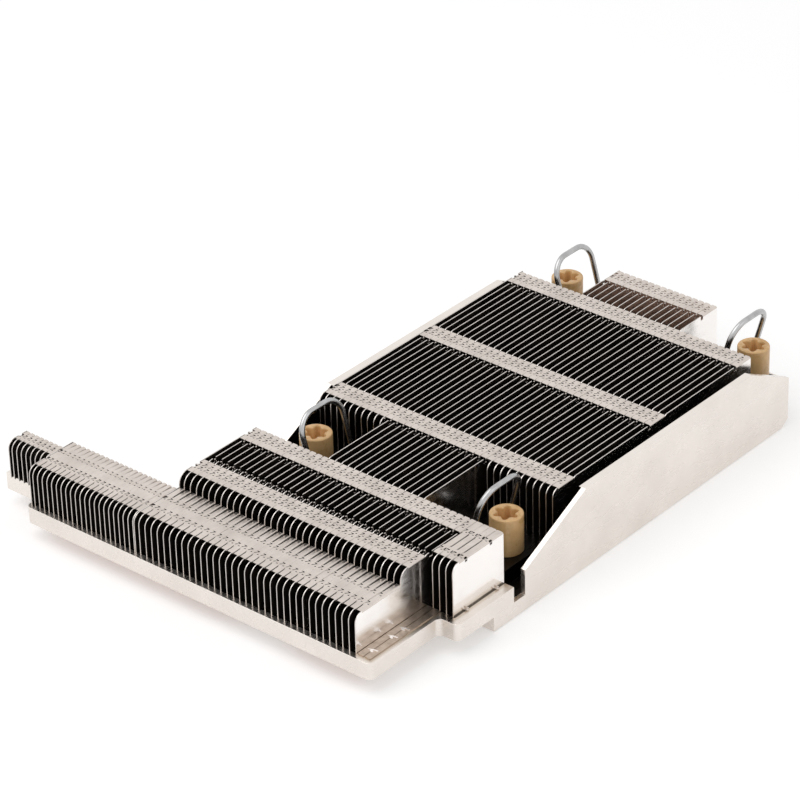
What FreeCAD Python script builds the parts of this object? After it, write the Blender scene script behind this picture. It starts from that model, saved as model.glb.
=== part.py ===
import FreeCAD, Part
import math
import os
import Sketcher
from FreeCAD import Placement, Rotation, Vector

# Passive heatsink for a server processor. Low stacks of stamped fins stand on a
# wide wing of the base plate, and tall stacks stand on the body between two side
# walls. Four captive nuts and four wire bails fasten it.
# Frame: +Z up, Z = 0 is the contact face, and the origin is the centre of the
# four nuts. X runs across the fins and Y runs along them, with the air.

doc = FreeCAD.newDocument("Heatsink")

# Driving sizes in millimetres, degrees or pieces, grouped by what they belong to.
DRIVING_SIZES = {
    "nut_spacing_across": 56.0,
    "nut_spacing_along": 94.0,
    "body_width": 78.0,
    "plate_underside": 3.7,
    "plate_thickness": 4.3,
    "corner_radius": 1.5,
    "tip_corner_radius": 0.5,
    "block_front": 65.3,
    "body_back": 46.1,
    "tail_back": 52.4,
    "step_front": 77.6,
    "wing_front": 100.4,
    "wing_right": 33.6,
    "wing_back": 82.0,
    "wing_left": 69.6,
    "tip_left": 83.6,
    "tip_front": 93.0,
    "wall_thickness": 1.3,
    "left_wall_inset": 2.0,
    "wall_top": 20.6,
    "wall_front": 54.3,
    "wall_front_height": 10.3,
    "wall_slope_front": 32.5,
    "wall_slope_back": 30.7,
    "wall_back_height": 12.9,
    "tail_foot_chamfer": 1.6,
    "lip_width": 2.0,
    "lip_thickness": 0.9,
    "notch_width": 3.9,
    "notch_floor": 3.9,
    "trough_width": 2.3,
    "trough_back": 43.0,
    "sheet": 0.35,
    "hook_gap": 0.16,
    "fin_pitch": 1.86,
    "fine_pitch": 1.49,
    "fin_height": 13.05,
    "low_fin_height": 9.75,
    "lip_clearance": 0.3,
    "long_fins_left": 14.48,
    "long_fins": 16,
    "wing_fins_left": 11,
    "wing_fins_right": 7,
    "fine_fins": 22,
    "tip_fins": 8,
    "corner_fins": 3,
    "long_corner_feet": 2,
    "low_fin_front": 99.0,
    "low_fin_back": 84.7,
    "low_corner": 2.2,
    "tip_fin_front": 93.8,
    "tip_fin_back": 87.7,
    "tall_fin_front": 84.0,
    "tall_corner": 2.6,
    "body_fin_front": 38.3,
    "body_corner": 1.9,
    "body_fin_back": 37.3,
    "corner_fin_front": 75.5,
    "band_width": 5.7,
    "wing_band": 63.8,
    "pocket_front": 58.1,
    "first_band": 36.4,
    "middle_band": 2.4,
    "rear_band": 31.2,
    "tail_band": 46.1,
    "tail_fin_back": 52.0,
    "nut_diameter": 7.8,
    "nut_top": 17.5,
    "nut_stem_diameter": 6.0,
    "nut_foot": 0.7,
    "stem_clearance": 0.1,
    "thread_bore": 3.3,
    "thread_depth": 8.0,
    "recess_depth": 5.0,
    "recess_core": 4.0,
    "recess_lobe": 1.5,
    "recess_across": 5.5,
    "ring_thickness": 0.8,
    "ring_width": 1.9,
    "ring_groove": 0.4,
    "ring_opening": 50.0,
    "counterbore_diameter": 10.6,
    "counterbore_depth": 3.3,
    "ring_clearance": 0.1,
    "wire": 1.4,
    "bail_inset": 5.4,
    "bail_half_width": 6.95,
    "bail_height": 15.8,
    "bail_corner": 3.5,
    "bail_foot_corner": 1.5,
    "bail_lean": 15.8,
    "pivot_height": 1.5,
    "pin_reach": 3.6,
    "pin_clearance": 0.05,
    "lug_thickness": 1.4,
    "lug_side_gap": 0.35,
    "lug_width": 2.8,
    "contact_width": 52.0,
    "contact_length": 79.0,
    "contact_clearance": 0.1,
    "pipe_width": 8.0,
    "pipe_thickness": 2.7,
    "pipe_side_flat": 0.27,
    "pipe_spacing": 11.0,
    "pipe_back": 37.0,
    "pipe_bend": 12.0,
    "channel_half": 21.4,
    "rear_lane": 87.4,
    "front_lane": 95.8,
    "rear_lane_end": 78.0,
    "front_lane_end": 65.0,
    "right_lane_end": 29.0,
    "short_pipe_front": 89.0,
}

sheet = doc.addObject("Spreadsheet::Sheet", "Sizes")
for row, (alias, number) in enumerate(DRIVING_SIZES.items(), start=1):
    sheet.set(f"A{row}", alias)
    sheet.set(f"B{row}", str(number))
    sheet.setAlias(f"B{row}", alias)
doc.recompute()


class Size:
    """A length with both its number and the expression that ties it to the sheet."""

    def __init__(self, value, text):
        self.value = value
        self.text = text

    def join(self, other, sign, value):
        text = other.text if isinstance(other, Size) else repr(other)
        return Size(value, f"({self.text} {sign} {text})")

    def __add__(self, other):
        return self.join(other, "+", self.value + number(other))

    def __sub__(self, other):
        return self.join(other, "-", self.value - number(other))

    def __mul__(self, other):
        return self.join(other, "*", self.value * number(other))

    def __truediv__(self, other):
        return self.join(other, "/", self.value / number(other))

    def __neg__(self):
        return Size(-self.value, f"(0 - {self.text})")

    def whole(self):
        """As many whole pieces as fit."""
        return Size(float(math.floor(self.value)), f"floor({self.text})")


def number(size):
    return size.value if isinstance(size, Size) else size


def size(alias):
    return Size(float(sheet.get(alias)), f"Sizes.{alias}")


ZERO = Size(0.0, "0")
# A cut runs this far past the solid, and a lug starts this far inside the plate.
OVERCUT = 1.0
LUG_ROOT = 0.5
NEARLY_ZERO = 1e-6

# Levels and lines that several pieces share.
half_body = size("body_width") / 2
plate_top = size("plate_underside") + size("plate_thickness")
fin_top = plate_top + size("fin_height")
low_top = plate_top + size("low_fin_height")
pitch = size("fin_pitch")
# A flange starts at its own plate's right face and stops short of the plate to its left.
flange_reach = pitch - size("hook_gap")
fine_reach = size("fine_pitch") - size("hook_gap")
nut_x = size("nut_spacing_across") / 2
nut_y = size("nut_spacing_along") / 2
wall_inner = half_body - size("wall_thickness")
left_wall_inner = wall_inner - size("left_wall_inset")
left_lip_inner = half_body - size("left_wall_inset") - size("lip_width")
pivot_z = plate_top + size("pivot_height")
pivot_x = nut_x - size("bail_inset")

# Left faces of the plates that begin and end each stack of fins, from one shared grid.
first_long_fin = -size("long_fins_left")
last_long_fin = first_long_fin + pitch * (size("long_fins") - 1)
first_right_fin = last_long_fin + pitch
body_stack_half = left_lip_inner - size("lip_clearance")
left_room = body_stack_half - (flange_reach - size("sheet")) - size("long_fins_left")
left_body_fins = (left_room / pitch).whole()
right_room = body_stack_half - size("sheet") - first_right_fin
right_body_fins = (right_room / pitch).whole()
first_body_fin = first_long_fin - pitch * left_body_fins
body_end_plate = first_right_fin + pitch * right_body_fins
first_wing_fin = first_long_fin - pitch * size("wing_fins_left")
wing_end_plate = first_right_fin + pitch * size("wing_fins_right")
first_corner_fin = wing_end_plate + pitch
corner_end_plate = first_corner_fin + pitch * size("corner_fins")
last_fine_fin = first_wing_fin - pitch
first_fine_fin = last_fine_fin - size("fine_pitch") * (size("fine_fins") - 1)
first_tip_fin = first_fine_fin - size("fine_pitch") * size("tip_fins")


def new_body(name):
    """A sub-part whose label is its file's name."""
    body = doc.addObject("PartDesign::Body", name)
    body.Label = name
    body.AllowCompound = True
    return body


def origin_feature(body, role):
    return next(item for item in body.Origin.OriginFeatures if item.Role == role)


def new_sketch(body, name, role, offset=None):
    """A sketch on one of the body's own planes, raised along the plane's normal."""
    sketch = body.newObject("Sketcher::SketchObject", f"{body.Name}_{name}")
    sketch.AttachmentSupport = [(origin_feature(body, role), "")]
    sketch.MapMode = "FlatFace"
    if offset is not None:
        sketch.AttachmentOffset = Placement(Vector(0, 0, offset.value), Rotation())
        sketch.setExpression("AttachmentOffset.Base.z", offset.text)
    return sketch


def tie(sketch, kind, geometry, point, measure):
    """Hold one coordinate of a point, or a radius, at a size from the sheet."""
    if point is None:
        constraint = Sketcher.Constraint(kind, geometry, measure.value)
    else:
        constraint = Sketcher.Constraint(kind, -1, 1, geometry, point, measure.value)
    index = sketch.addConstraint(constraint)
    sketch.setExpression(f"Constraints[{index}]", measure.text)


def direction(start, finish):
    """Unit steps along the axis that leads from one corner to the next."""
    step_x = number(finish[0]) - number(start[0])
    step_y = number(finish[1]) - number(start[1])
    if abs(step_x) > abs(step_y):
        return (int(math.copysign(1, step_x)), 0)
    return (0, int(math.copysign(1, step_y)))


def shifted(corner, step, distance):
    """The point at a distance from a corner along one axis."""
    x, y = corner[0], corner[1]
    if step[0]:
        x = x + distance if step[0] > 0 else x - distance
    if step[1]:
        y = y + distance if step[1] > 0 else y - distance
    return (x, y)


def outline(sketch, corners, closed=True):
    """Lines through corners. A corner with a third entry is square and rounded."""
    stations = []
    count = len(corners)
    for index, corner in enumerate(corners):
        if len(corner) < 3:
            stations.append((corner, corner, None, None))
            continue
        before = direction(corner, corners[index - 1])
        after = direction(corner, corners[(index + 1) % count])
        radius = corner[2]
        entry = shifted(corner, before, radius)
        leave = shifted(corner, after, radius)
        middle = shifted(entry, after, radius)
        stations.append((entry, leave, middle, radius))
    for index, (entry, leave, middle, radius) in enumerate(stations):
        if radius is not None:
            round_corner(sketch, entry, leave, middle, radius)
        if index + 1 < count or closed:
            straight(sketch, leave, stations[(index + 1) % count][0])
    join_ends(sketch, closed)


def flat(point):
    return Vector(number(point[0]), number(point[1]), 0)


def straight(sketch, start, finish):
    edge = sketch.addGeometry(Part.LineSegment(flat(start), flat(finish)))
    tie(sketch, "DistanceX", edge, 1, start[0])
    tie(sketch, "DistanceY", edge, 1, start[1])
    tie(sketch, "DistanceX", edge, 2, finish[0])
    tie(sketch, "DistanceY", edge, 2, finish[1])


def round_corner(sketch, entry, leave, middle, radius):
    """A quarter circle from one straight edge to the next."""
    start = flat(entry) - flat(middle)
    finish = flat(leave) - flat(middle)
    turns_left = start.cross(finish).z > 0
    first, last = (start, finish) if turns_left else (finish, start)
    begin = math.atan2(first.y, first.x)
    end = math.atan2(last.y, last.x)
    circle = Part.Circle(flat(middle), Vector(0, 0, 1), radius.value)
    arc = sketch.addGeometry(Part.ArcOfCircle(circle, begin, end))
    tie(sketch, "Radius", arc, None, radius)


def join_ends(sketch, closed):
    """Fasten each arc to its neighbours, because lines already hold their ends."""
    edges = list(range(len(sketch.Geometry)))
    for edge in edges:
        if sketch.Geometry[edge].TypeId != "Part::GeomArcOfCircle":
            continue
        for point in (1, 2):
            spot = sketch.getPoint(edge, point)
            for other in (edge - 1, edge + 1):
                other = other % len(edges)
                for end in (1, 2):
                    if spot.distanceToPoint(sketch.getPoint(other, end)) < NEARLY_ZERO:
                        sketch.addConstraint(Sketcher.Constraint("Coincident", edge, point, other, end))


def rectangle(sketch, left, right, low, high):
    """Four lines, with each corner's place tied to the sheet."""
    corners = [(left, low), (right, low), (right, high), (left, high)]
    for index, corner in enumerate(corners):
        straight(sketch, corner, corners[(index + 1) % 4])


def circle(sketch, x, y, diameter):
    ring = sketch.addGeometry(Part.Circle(flat((x, y)), Vector(0, 0, 1), number(diameter) / 2))
    tie(sketch, "DistanceX", ring, 3, x)
    tie(sketch, "DistanceY", ring, 3, y)
    tie(sketch, "Diameter", ring, None, diameter)


def pad(body, sketch, length, name, reverse=False):
    feature = body.newObject("PartDesign::Pad", f"{body.Name}_{name}")
    feature.Profile = sketch
    feature.Length = length.value
    feature.setExpression("Length", length.text)
    feature.Reversed = reverse
    return feature


def pocket(body, sketch, length, name, reverse=False):
    feature = body.newObject("PartDesign::Pocket", f"{body.Name}_{name}")
    feature.Profile = sketch
    feature.Length = length.value
    feature.setExpression("Length", length.text)
    feature.Reversed = reverse
    return feature


def mirror(body, features, role, name):
    """The same features on the other side of one of the body's planes."""
    copy = body.newObject("PartDesign::Mirrored", f"{body.Name}_{name}")
    copy.Originals = features
    copy.MirrorPlane = (origin_feature(body, role), [""])
    body.Tip = copy
    return copy


def place(body, x, y, z, axis=Vector(0, 0, 1), angle=None):
    """Set the body's place, and tie it to the sheet."""
    turn = Rotation(axis, number(angle) if angle is not None else 0)
    body.Placement = Placement(Vector(number(x), number(y), number(z)), turn)
    body.setExpression("Placement.Base.x", x.text)
    body.setExpression("Placement.Base.y", y.text)
    body.setExpression("Placement.Base.z", z.text)
    if angle is not None:
        body.setExpression("Placement.Rotation.Angle", angle.text)


# Base with its wing, side walls, nut seats and lugs for the wire bails.


def base_outlines(body):
    """The plate that carries the fins, and the block under the body."""
    corner = size("corner_radius")
    tip = size("tip_corner_radius")
    clip = half_body - (size("tail_back") - size("body_back"))
    plate = new_sketch(body, "plate_outline", "XY_Plane", size("plate_underside"))
    outline(plate, [
        (-size("tip_left"), -size("tip_front"), tip),
        (-size("wing_left"), -size("tip_front"), tip),
        (-size("wing_left"), -size("wing_front"), corner),
        (size("wing_right"), -size("wing_front"), corner),
        (size("wing_right"), -size("step_front"), corner),
        (half_body, -size("step_front"), corner),
        (half_body, size("body_back")),
        (clip, size("tail_back")),
        (-clip, size("tail_back")),
        (-half_body, size("body_back")),
        (-half_body, -size("wing_back"), corner),
        (-size("tip_left"), -size("wing_back"), tip),
    ])
    pad(body, plate, size("plate_thickness"), "plate")
    block = new_sketch(body, "block_outline", "XY_Plane")
    outline(block, [
        (-half_body, -size("block_front")),
        (half_body, -size("block_front")),
        (half_body, size("body_back")),
        (clip, size("tail_back")),
        (-clip, size("tail_back")),
        (-half_body, size("body_back")),
    ])
    pad(body, block, size("plate_underside"), "block")


def base_walls(body):
    """Side walls with sloped ends, and an inward lip along the top."""
    left_face = size("left_wall_inset") - half_body
    low = size("wall_top") - size("lip_thickness")
    for side, wall_face, lip_face in (
            ("right", wall_inner, half_body - size("lip_width")),
            ("left", left_face, left_face)):
        wall = new_sketch(body, f"{side}_wall_side", "YZ_Plane", wall_face)
        outline(wall, [
            (-size("wall_front"), size("notch_floor")),
            (size("body_back"), size("notch_floor")),
            (size("body_back"), size("wall_back_height")),
            (size("wall_slope_back"), size("wall_top")),
            (-size("wall_slope_front"), size("wall_top")),
            (-size("wall_front"), size("wall_front_height")),
        ])
        pad(body, wall, size("wall_thickness"), f"{side}_wall")
        strip = new_sketch(body, f"{side}_lip_side", "YZ_Plane", lip_face)
        rectangle(strip, -size("wall_slope_front"), size("wall_slope_back"), low, size("wall_top"))
        pad(body, strip, size("lip_width"), f"{side}_lip")


def base_troughs(body):
    """Open troughs between the nut seats and the walls, which also notch the rim."""
    notch_front = -(size("wall_front") + size("notch_width"))
    trough_inner = left_wall_inner - size("trough_width")
    rim = half_body + OVERCUT
    for side, sign, wall_face in (
            ("right", 1, wall_inner),
            ("left", -1, left_wall_inner)):
        floor = new_sketch(body, f"{side}_trough_outline", "XY_Plane", size("notch_floor"))
        corners = [
            (trough_inner, notch_front),
            (rim, notch_front),
            (rim, -size("wall_front")),
            (wall_face, -size("wall_front")),
            (wall_face, -size("trough_back")),
            (trough_inner, -size("trough_back")),
        ]
        if sign < 0:
            corners = [(-x, y) for x, y in reversed(corners)]
        outline(floor, corners)
        pocket(body, floor, size("plate_thickness"), f"{side}_trough", reverse=True)


def nut_seats(body):
    """Clearance holes for the nuts' stems, widened underneath for their rings."""
    for end, along in (("front", -nut_y), ("back", nut_y)):
        hole = new_sketch(body, f"{end}_nut_hole", "XY_Plane")
        circle(hole, nut_x, along, size("nut_stem_diameter") + size("stem_clearance") * 2)
        bore = pocket(body, hole, plate_top + OVERCUT, f"{end}_nut_bore", reverse=True)
        recess = new_sketch(body, f"{end}_ring_recess", "XY_Plane")
        circle(recess, nut_x, along, size("counterbore_diameter"))
        wide = pocket(body, recess, size("counterbore_depth"), f"{end}_ring_pocket", reverse=True)
        mirror(body, [bore, wide], "YZ_Plane", f"{end}_left_nut_seat")


def bail_lugs(body):
    """Upright lugs with a cross hole. Each pair carries the two pins of a bail."""
    outer = size("bail_half_width") - size("bail_foot_corner") - size("lug_side_gap")
    half = size("lug_width") / 2
    for end, along in (("front", -nut_y), ("back", nut_y)):
        for side, shift in (("near", -outer), ("far", outer - size("lug_thickness"))):
            face = new_sketch(body, f"{end}_{side}_lug_side", "XZ_Plane", -(along + shift))
            head = Part.Circle(flat((pivot_x, pivot_z)), Vector(0, 0, 1), half.value)
            crown = face.addGeometry(Part.ArcOfCircle(head, 0, math.pi))
            tie(face, "DistanceY", crown, 3, pivot_z)
            foot = plate_top - LUG_ROOT
            straight(face, (pivot_x - half, pivot_z), (pivot_x - half, foot))
            straight(face, (pivot_x - half, foot), (pivot_x + half, foot))
            straight(face, (pivot_x + half, foot), (pivot_x + half, pivot_z))
            face.addConstraint(Sketcher.Constraint("Coincident", crown, 1, 3, 2))
            face.addConstraint(Sketcher.Constraint("Coincident", crown, 2, 1, 1))
            lug = pad(body, face, size("lug_thickness"), f"{end}_{side}_lug", reverse=True)
            eye = new_sketch(body, f"{end}_{side}_eye_side", "XZ_Plane", -(along + shift))
            circle(eye, pivot_x, pivot_z, size("wire") + size("pin_clearance") * 2)
            hole = pocket(body, eye, size("lug_thickness"), f"{end}_{side}_eye")
            mirror(body, [lug, hole], "YZ_Plane", f"{end}_{side}_lug_left")


def underside(body):
    """A window for the contact plate, and a channel for the heat pipes."""
    window = new_sketch(body, "contact_window", "XY_Plane")
    half_x = size("contact_width") / 2 + size("contact_clearance")
    half_y = size("contact_length") / 2 + size("contact_clearance")
    rectangle(window, -half_x, half_x, -half_y, half_y)
    pocket(body, window, size("plate_underside"), "contact_pocket", reverse=True)
    channel = new_sketch(body, "pipe_channel", "XY_Plane")
    channel_front = -(size("block_front") + OVERCUT)
    rectangle(channel, -size("channel_half"), size("channel_half"), channel_front, -(half_y - OVERCUT))
    pocket(body, channel, size("plate_underside"), "channel_pocket", reverse=True)


def pipe_routes():
    """Each heat pipe's centre line, as corners from its rear end to its front end."""
    inner = size("pipe_spacing") / 2
    outer = inner * 3
    bend = size("pipe_bend")
    back = size("pipe_back")
    rear_lane = -size("rear_lane")
    front_lane = -size("front_lane")
    return {
        "heat_pipe_outer_left": [
            (-outer, back), (-outer, rear_lane, bend), (-size("rear_lane_end"), rear_lane)],
        "heat_pipe_inner_left": [
            (-inner, back), (-inner, front_lane, bend), (-size("front_lane_end"), front_lane)],
        "heat_pipe_inner_right": [
            (inner, back), (inner, front_lane, bend), (size("right_lane_end"), front_lane)],
        "heat_pipe_outer_right": [(outer, back), (outer, -size("short_pipe_front"))],
    }


def pipe_outline(body, corners):
    """A strip as wide as a pipe that follows its centre line, at the plate's underside."""
    half = size("pipe_width") / 2
    sides = []
    for hand in (1, -1):
        side = []
        for index, corner in enumerate(corners):
            ends = corners[max(index - 1, 0):index + 2]
            steps = [direction(start, finish) for start, finish in zip(ends, ends[1:])]
            spot = (corner[0], corner[1])
            for step in steps:
                spot = shifted(spot, (-step[1] * hand, step[0] * hand), half)
            if len(corner) > 2:
                turn = steps[0][0] * steps[1][1] - steps[0][1] * steps[1][0]
                spot += (corner[2] - half if turn == hand else corner[2] + half,)
            side.append(spot)
        sides.append(side)
    strip = new_sketch(body, "pipe_outline", "XY_Plane", size("plate_underside"))
    outline(strip, sides[0] + sides[1][::-1])
    return strip


def round_sides(body):
    """Round the long edges of a flattened pipe, and leave its ends square."""
    doc.recompute()
    tube = body.Tip
    long_edges = []
    for index, edge in enumerate(tube.Shape.Edges, start=1):
        if edge.BoundBox.ZLength < NEARLY_ZERO and edge.Length > size("pipe_width").value + NEARLY_ZERO:
            long_edges.append(f"Edge{index}")
    radius = (size("pipe_thickness") - size("pipe_side_flat")) / 2
    rounding = body.newObject("PartDesign::Fillet", f"{body.Name}_sides")
    rounding.Base = (tube, long_edges)
    rounding.Radius = radius.value
    rounding.setExpression("Radius", radius.text)


def tail_feet(body):
    """Chamfers under the two cut corners at the back of the block."""
    doc.recompute()
    block = body.Tip
    slant = (size("tail_back") - size("body_back")).value / 2
    feet_edges = []
    for index, edge in enumerate(block.Shape.Edges, start=1):
        box = edge.BoundBox
        if box.ZMax < NEARLY_ZERO and min(box.XLength, box.YLength) > slant:
            feet_edges.append(f"Edge{index}")
    feet = body.newObject("PartDesign::Chamfer", f"{body.Name}_tail_feet")
    feet.Base = (block, feet_edges)
    feet.Size = size("tail_foot_chamfer").value
    feet.setExpression("Size", size("tail_foot_chamfer").text)


def build_base():
    body = new_body("base")
    base_outlines(body)
    tail_feet(body)
    base_walls(body)
    base_troughs(body)
    bail_lugs(body)
    nut_seats(body)
    underside(body)
    for name, corners in pipe_routes().items():
        groove = pipe_outline(body, corners)
        pocket(body, groove, size("pipe_thickness"), f"{name}_groove", reverse=True)
    place(body, ZERO, ZERO, ZERO)
    return body


def build_contact_plate():
    body = new_body("contact_plate")
    sketch = new_sketch(body, "outline", "XY_Plane")
    half_x = size("contact_width") / 2
    half_y = size("contact_length") / 2
    corner = size("corner_radius")
    outline(sketch, [
        (-half_x, -half_y, corner), (half_x, -half_y, corner),
        (half_x, half_y, corner), (-half_x, half_y, corner)])
    pad(body, sketch, size("plate_underside"), "plate")
    place(body, ZERO, ZERO, ZERO)
    return body


def build_heat_pipes():
    pieces = []
    for name, corners in pipe_routes().items():
        body = new_body(name)
        pad(body, pipe_outline(body, corners), size("pipe_thickness"), "tube")
        round_sides(body)
        place(body, ZERO, ZERO, ZERO)
        pieces.append(body)
    return pieces


# Stamped fins. Each is a plate with flanges bent to the left at its top and foot,
# and each flange reaches the plate before it, so the flanges close the stack.


def fin_sheet(body, corners):
    """The flat plate of one fin."""
    face = new_sketch(body, "plate_side", "YZ_Plane")
    outline(face, corners)
    return pad(body, face, size("sheet"), "plate")


def fin_flanges(body, strips, reach):
    """Flanges that reach towards the fin before: (front, back, top of the strip)."""
    face = new_sketch(body, "flange_side", "YZ_Plane", size("sheet"))
    for front, back, top in strips:
        rectangle(face, front, back, top - size("sheet"), top)
    return pad(body, face, reach, "flanges", reverse=True)


def repeat(body, features, spacing, count, name="row"):
    """The same features again at each pitch."""
    row = body.newObject("PartDesign::LinearPattern", f"{body.Name}_{name}")
    row.Originals = features
    row.Direction = (origin_feature(body, "X_Axis"), [""])
    row.Occurrences = int(count.value)
    row.setExpression("Occurrences", count.text)
    row.Length = (spacing * (count - 1)).value
    row.setExpression("Length", (spacing * (count - 1)).text)
    body.Tip = row


def foot_strip(front, back):
    return (front, back, plate_top + size("sheet"))


def band(front):
    """A strip of flanges across the tops of the tall fins."""
    return (front, front + size("band_width"), fin_top)


def low_outline(front, back):
    corner = size("low_corner")
    return [
        (front, plate_top), (back, plate_top), (back, low_top), (front, low_top, corner)]


def stepped_outline(back):
    """A fin that is low over the wing's front and tall behind it."""
    return [
        (-size("low_fin_front"), plate_top),
        (back, plate_top),
        (back, fin_top),
        (-size("tall_fin_front"), fin_top, size("tall_corner")),
        (-size("tall_fin_front"), low_top),
        (-size("low_fin_front"), low_top, size("low_corner")),
    ]


def stepped_strips(back):
    """Flanges of the stepped fins from the foot up to the front band."""
    low_front = -(size("low_fin_front") - size("low_corner"))
    return [
        foot_strip(-size("low_fin_front"), back),
        (low_front, -size("tall_fin_front"), low_top),
        band(-(size("tall_fin_front") - size("tall_corner"))),
        band(-size("wing_band")),
    ]


def tall_outline(front, back, corner):
    return [
        (front, plate_top), (back, plate_top), (back, fin_top), (front, fin_top, corner)]


def fin_row(name, corners, strips, reach, spacing, count, first):
    body = new_body(name)
    features = [fin_sheet(body, corners), fin_flanges(body, strips, reach)]
    repeat(body, features, spacing, count)
    place(body, first, ZERO, ZERO)
    return body


def single_fin(name, corners, strips, reach, first):
    """The fin that ends a stack, with its bare face outwards."""
    body = new_body(name)
    fin_sheet(body, corners)
    fin_flanges(body, strips, reach)
    place(body, first, ZERO, ZERO)
    return body


def lengthen_feet(body, front, back, count):
    """Feet of the first fins run on along the wing, where the fins themselves stop."""
    face = new_sketch(body, "long_foot_side", "YZ_Plane", size("sheet"))
    rectangle(face, front, back, plate_top, plate_top + size("sheet"))
    foot = pad(body, face, flange_reach, "long_foot", reverse=True)
    repeat(body, [foot], pitch, count, "long_feet")


def build_fins():
    low_front = -size("low_fin_front")
    low_back = -size("low_fin_back")
    low_cap = -(size("low_fin_front") - size("low_corner"))
    tip_front = -size("tip_fin_front")
    tip_back = -size("tip_fin_back")
    tip_cap = -(size("tip_fin_front") - size("low_corner"))
    wing_back = -size("pocket_front")
    tail_back = size("tail_fin_back")
    body_front = -size("body_fin_front")
    body_back = size("body_fin_back")
    corner_front = -size("corner_fin_front")
    body_strips = [
        foot_strip(body_front, body_back), band(-size("first_band")),
        band(-size("middle_band")), band(size("rear_band"))]
    body_face = tall_outline(body_front, body_back, size("body_corner"))
    corner_face = tall_outline(corner_front, wing_back, size("low_corner"))
    corner_cap = corner_front + size("low_corner")
    corner_strips = [foot_strip(corner_front, wing_back), (corner_cap, wing_back, fin_top)]
    low_face = low_outline(low_front, low_back)
    low_strips = [foot_strip(low_front, low_back), (low_cap, low_back, low_top)]
    stepped_face = stepped_outline(wing_back)
    long_face = stepped_outline(tail_back)
    long_strips = stepped_strips(tail_back) + body_strips[1:] + [band(size("tail_band"))]
    corner_row = fin_row("corner_fins", corner_face, corner_strips,
                         flange_reach, pitch, size("corner_fins"), first_corner_fin)
    lengthen_feet(corner_row, low_front, corner_front, size("long_corner_feet"))
    return [
        fin_row("tip_fins", low_outline(tip_front, tip_back),
                [foot_strip(tip_front, tip_back), (tip_cap, tip_back, low_top)],
                fine_reach, size("fine_pitch"), size("tip_fins"), first_tip_fin),
        fin_row("fine_wing_fins", low_face, low_strips,
                fine_reach, size("fine_pitch"), size("fine_fins") - 1, first_fine_fin),
        single_fin("fine_end_plate", low_face, low_strips, fine_reach, last_fine_fin),
        fin_row("left_stepped_fins", stepped_face, stepped_strips(wing_back),
                flange_reach, pitch, size("wing_fins_left"), first_wing_fin),
        fin_row("long_fins", long_face, long_strips,
                flange_reach, pitch, size("long_fins") - 1, first_long_fin),
        single_fin("last_long_fin", long_face, long_strips, flange_reach, last_long_fin),
        fin_row("right_stepped_fins", stepped_face, stepped_strips(wing_back),
                flange_reach, pitch, size("wing_fins_right"), first_right_fin),
        single_fin("wing_end_plate", stepped_face, stepped_strips(wing_back),
                   flange_reach, wing_end_plate),
        fin_row("left_body_fins", body_face, body_strips,
                flange_reach, pitch, left_body_fins, first_body_fin),
        fin_row("right_body_fins", body_face, body_strips,
                flange_reach, pitch, right_body_fins, first_right_fin),
        single_fin("body_end_plate", body_face, body_strips, flange_reach, body_end_plate),
        corner_row,
        single_fin("corner_end_plate", corner_face, corner_strips, flange_reach, corner_end_plate),
    ]


# Captive nuts, their retaining rings and the wire bails, one set at each corner.


def build_nut(name, x, y):
    """A turned sleeve nut with a six-lobe recess on top and a blind thread below."""
    body = new_body(name)
    groove_top = size("counterbore_depth") - size("ring_clearance")
    groove_foot = groove_top - size("ring_thickness")
    stem = size("nut_stem_diameter") / 2
    neck = stem - size("ring_groove")
    bore = size("thread_bore") / 2
    thread_end = size("nut_foot") + size("thread_depth")
    half = new_sketch(body, "half_section", "XZ_Plane")
    outline(half, [
        (bore, size("nut_foot")), (stem, size("nut_foot")), (stem, groove_foot),
        (neck, groove_foot), (neck, groove_top), (stem, groove_top), (stem, plate_top),
        (size("nut_diameter") / 2, plate_top), (size("nut_diameter") / 2, size("nut_top")),
        (ZERO, size("nut_top")), (ZERO, thread_end), (bore, thread_end)])
    turned = body.newObject("PartDesign::Revolution", f"{name}_turned")
    turned.Profile = half
    turned.ReferenceAxis = (half, ["V_Axis"])
    turned.Angle = 360
    core = new_sketch(body, "recess_core", "XY_Plane", size("nut_top"))
    circle(core, ZERO, ZERO, size("recess_core"))
    pocket(body, core, size("recess_depth"), "recess")
    lobe_sketch = new_sketch(body, "recess_lobe", "XY_Plane", size("nut_top"))
    circle(lobe_sketch, (size("recess_across") - size("recess_lobe")) / 2, ZERO, size("recess_lobe"))
    lobe = pocket(body, lobe_sketch, size("recess_depth"), "lobe")
    lobes = body.newObject("PartDesign::PolarPattern", f"{name}_lobes")
    lobes.Originals = [lobe]
    lobes.Axis = (origin_feature(body, "Z_Axis"), [""])
    lobes.Angle = 360
    lobes.Occurrences = 6
    body.Tip = lobes
    place(body, x, y, ZERO)
    return body


def build_ring(name, x, y):
    """A split retaining ring in the groove of a nut's stem."""
    body = new_body(name)
    inner = size("nut_stem_diameter") / 2 - size("ring_groove")
    top = size("counterbore_depth") - size("ring_clearance")
    section = new_sketch(body, "section", "XZ_Plane")
    rectangle(section, inner, inner + size("ring_width"), top - size("ring_thickness"), top)
    ring = body.newObject("PartDesign::Revolution", f"{name}_turned")
    ring.Profile = section
    ring.ReferenceAxis = (section, ["V_Axis"])
    sweep = -(size("ring_opening") - 360.0)
    ring.Angle = sweep.value
    ring.setExpression("Angle", sweep.text)
    place(body, x, y, ZERO)
    return body


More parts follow.
